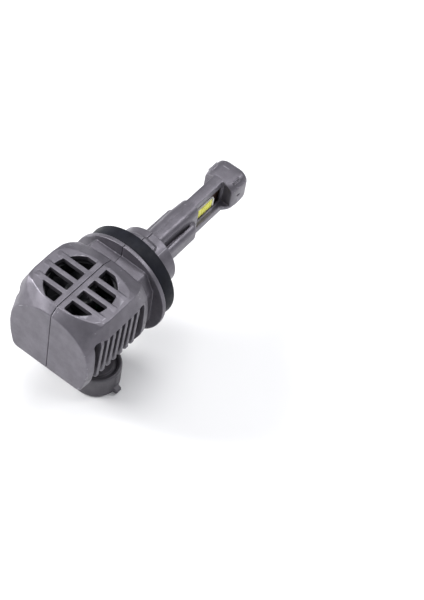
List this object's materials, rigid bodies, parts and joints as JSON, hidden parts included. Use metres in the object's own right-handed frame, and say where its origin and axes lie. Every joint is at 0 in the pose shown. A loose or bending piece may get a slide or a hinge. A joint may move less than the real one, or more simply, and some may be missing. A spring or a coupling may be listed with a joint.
{
  "type": "headlight bulb",
  "caption": "Fan-cooled LED headlight bulb with a finned cast head, round fan grille, bayonet collar with seal ring, slim LED stalk and an oval plug.",
  "frame": {"origin": "on the bulb axis, inside the thickness of the collar flange", "axes": "+X along the bulb axis towards the tip, +Z out of the fan grille, +Y towards the right-hand shell that carries the screw heads"},
  "size_m": [0.0847, 0.0326, 0.0425],
  "materials": {
    "die_cast": "satin grey with a fine cast grain",
    "plug_shell": "moulded, grey like the body",
    "rubber": "matt black",
    "copper_board": "copper core, satin",
    "white_carrier": "white ceramic",
    "phosphor": "yellow phosphor coat",
    "black_plastic": "moulded",
    "steel": "satin",
    "bronze": "sintered bronze",
    "magnet": "dark ferrite",
    "lamination": "stamped sheet",
    "copper_wire": "enamelled copper",
    "circuit_green": "solder mask",
    "chip_black": "moulded package",
    "can_aluminium": "bright can",
    "tin_plate": "tin plated",
    "lead_red": "wire insulation"
  },
  "bodies": {
    "bulb_body": {"housing_left": "die_cast", "housing_right": "die_cast", "seal_ring": "rubber", "led_board": "copper_board", "led_carrier_left": "white_carrier", "led_carrier_right": "white_carrier", "led_strip_left": "phosphor", "led_strip_right": "phosphor", "neck_screw_upper": "steel", "neck_screw_lower": "steel", "tip_pin": "steel", "fan_frame": "black_plastic", "fan_bearing": "bronze", "fan_board": "circuit_green", "fan_stator": "lamination", "fan_coil_1": "copper_wire", "fan_coil_2": "copper_wire", "fan_coil_3": "copper_wire", "fan_coil_4": "copper_wire", "fan_lead_red": "lead_red", "fan_lead_black": "black_plastic", "driver_board": "circuit_green", "driver_inductor": "magnet", "driver_capacitor": "can_aluminium", "driver_chip": "chip_black", "driver_diode": "chip_black", "connector_shroud": "plug_shell", "connector_gasket": "rubber", "terminal_left": "tin_plate", "terminal_right": "tin_plate"},
    "fan": {"fan_rotor": "black_plastic", "fan_shaft": "steel", "fan_magnet": "magnet", "fan_washer": "steel"}
  },
  "joints": [
    {"name": "fan_spin", "type": "hinge", "parent": "bulb_body", "child": "fan", "pos_m": [-0.019, 0, 0.009], "axis": [0, 0, 1], "continuous": true}
  ]
}
